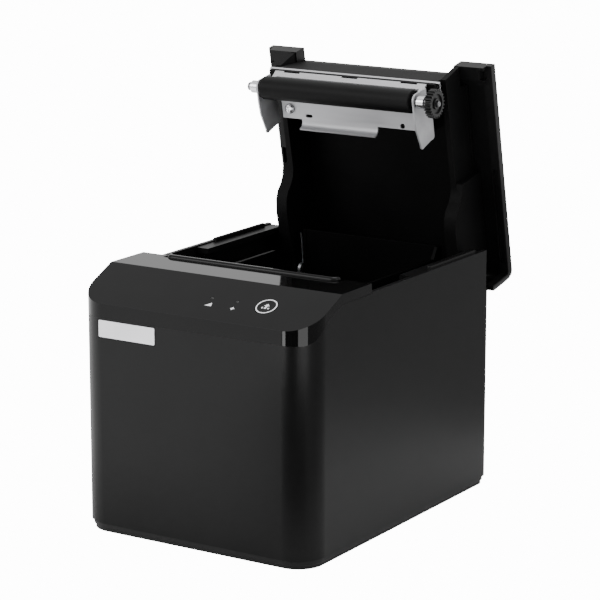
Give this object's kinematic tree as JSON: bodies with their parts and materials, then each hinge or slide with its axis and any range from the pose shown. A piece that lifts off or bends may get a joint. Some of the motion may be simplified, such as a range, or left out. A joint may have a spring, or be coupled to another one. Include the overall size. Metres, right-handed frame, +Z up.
{
  "type": "receipt printer",
  "caption": "Cube-shaped counter-top receipt printer with its lid open: paper well, platen roller on the lid, print head, cutter, sloped control panel, rear sockets.",
  "frame": {"origin": "on the standing surface, under the middle of the open printer's box", "axes": "+Z up, +Y to the back, +X to the right seen from the front"},
  "size_m": [0.14, 0.2087, 0.2308],
  "materials": {
    "case_plastic": "fine-textured charcoal moulding, slight sheen",
    "panel_plastic": "polished black moulding",
    "dark_plastic": "matte black moulding",
    "base_plastic": "matte black moulding",
    "foot_rubber": "soft black rubber",
    "platen_rubber": "ground grey-black rubber",
    "sheet_steel": "zinc-plated sheet",
    "shaft_steel": "ground and plated steel",
    "spring_steel": "bright wire",
    "heat_sink_aluminium": "extruded aluminium",
    "gear_plastic": "black acetal",
    "circuit_board": "green solder mask",
    "ceramic": "glazed thermal head strip",
    "light_pipe": "clear light guide",
    "label_foil": "blank silver foil label"
  },
  "bodies": {
    "case": {"base_pan": "base_plastic", "housing": "case_plastic", "front_cover": "panel_plastic", "label_plate": "label_foil", "main_board": "circuit_board", "panel_board": "circuit_board", "paper_well": "dark_plastic", "mechanism_frame": "sheet_steel", "power_light_pipe": "light_pipe", "error_light_pipe": "light_pipe", "idler_pin": "shaft_steel", "feed_motor": "sheet_steel", "head_pin": "shaft_steel", "head_spring_left": "spring_steel", "head_spring_right": "spring_steel", "cutter_bed": "sheet_steel", "cutter_motor": "sheet_steel", "cutter_cover": "dark_plastic", "power_jack": "dark_plastic", "drawer_port": "dark_plastic", "usb_port": "sheet_steel", "network_port": "sheet_steel", "switch_frame": "dark_plastic", "hinge_pin_left": "shaft_steel", "hinge_pin_right": "shaft_steel", "foot_front_left": "foot_rubber", "foot_front_right": "foot_rubber", "foot_rear_left": "foot_rubber", "foot_rear_right": "foot_rubber", "board_screw_1": "shaft_steel", "board_screw_2": "shaft_steel", "board_screw_3": "shaft_steel", "board_screw_4": "shaft_steel"},
    "lid": {"lid_shell": "case_plastic", "lid_liner": "dark_plastic", "platen_bracket": "sheet_steel", "bracket_screw": "shaft_steel", "fixed_blade": "shaft_steel", "platen_bush_left": "shaft_steel", "platen_bush_right": "shaft_steel", "lid_spring": "spring_steel"},
    "platen": {"platen_rubber": "platen_rubber", "platen_shaft": "shaft_steel", "platen_gear": "gear_plastic"},
    "feed_button": {"feed_button": "panel_plastic"},
    "power_rocker": {"power_rocker": "dark_plastic"},
    "cutter_blade": {"cutter_blade": "shaft_steel"},
    "cutter_pinion": {"cutter_pinion": "gear_plastic"},
    "idler": {"idler_gear": "gear_plastic"},
    "motor_pinion": {"motor_pinion": "gear_plastic"},
    "print_head": {"print_head": "ceramic", "heat_sink": "heat_sink_aluminium"},
    "platen_lock": {"lock_shaft": "shaft_steel", "lock_hook_left": "sheet_steel", "lock_hook_right": "sheet_steel"}
  },
  "joints": [
    {"name": "lid_hinge", "type": "hinge", "parent": "case", "child": "lid", "pos_m": [0, 0.07574, 0.1069], "axis": [1, 0, 0], "range_deg": [0, 78.3], "stiffness_Nm_per_rad": 0.3, "springref_deg": -40.11},
    {"name": "platen_spin", "type": "hinge", "parent": "lid", "child": "platen", "pos_m": [0, 0.0352, 0.21441], "axis": [1, 0, 0], "continuous": true},
    {"name": "feed_button_press", "type": "slide", "parent": "case", "child": "feed_button", "axis": [0, 0.4157, -0.9095], "range_m": [0, 0.0008], "stiffness_N_per_m": 600},
    {"name": "power_rocker_turn", "type": "hinge", "parent": "case", "child": "power_rocker", "pos_m": [-0.048, 0.07854, 0.0266], "axis": [1, 0, 0], "range_deg": [0, 14]},
    {"name": "cutter_blade_slide", "type": "slide", "parent": "case", "child": "cutter_blade", "axis": [0, 1, 0], "range_m": [0, 0.008]},
    {"name": "cutter_pinion_turn", "type": "hinge", "parent": "case", "child": "cutter_pinion", "pos_m": [0.03, -0.07346, 0.1086], "axis": [0, 0, 1], "range_deg": [-97, 1]},
    {"name": "idler_spin", "type": "hinge", "parent": "case", "child": "idler", "pos_m": [0.0587, -0.03454, 0.0686], "axis": [1, 0, 0], "continuous": true},
    {"name": "motor_pinion_spin", "type": "hinge", "parent": "case", "child": "motor_pinion", "pos_m": [0.0587, -0.0476, 0.05764], "axis": [1, 0, 0], "continuous": true},
    {"name": "print_head_press", "type": "hinge", "parent": "case", "child": "print_head", "pos_m": [0, -0.04747, 0.07998], "axis": [1, 0, 0], "range_deg": [0, 1.5], "stiffness_Nm_per_rad": 3, "springref_deg": -5.73},
    {"name": "platen_lock_turn", "type": "hinge", "parent": "case", "child": "platen_lock", "pos_m": [0, -0.05446, 0.085], "axis": [-1, 0, 0], "range_deg": [0, 26]}
  ],
  "couplings": [
    {"joint": "motor_pinion_spin", "follows": "idler_spin", "ratio": -3.6667},
    {"joint": "cutter_pinion_turn", "follows": "cutter_blade_slide", "rad_per_m": -208.33}
  ]
}
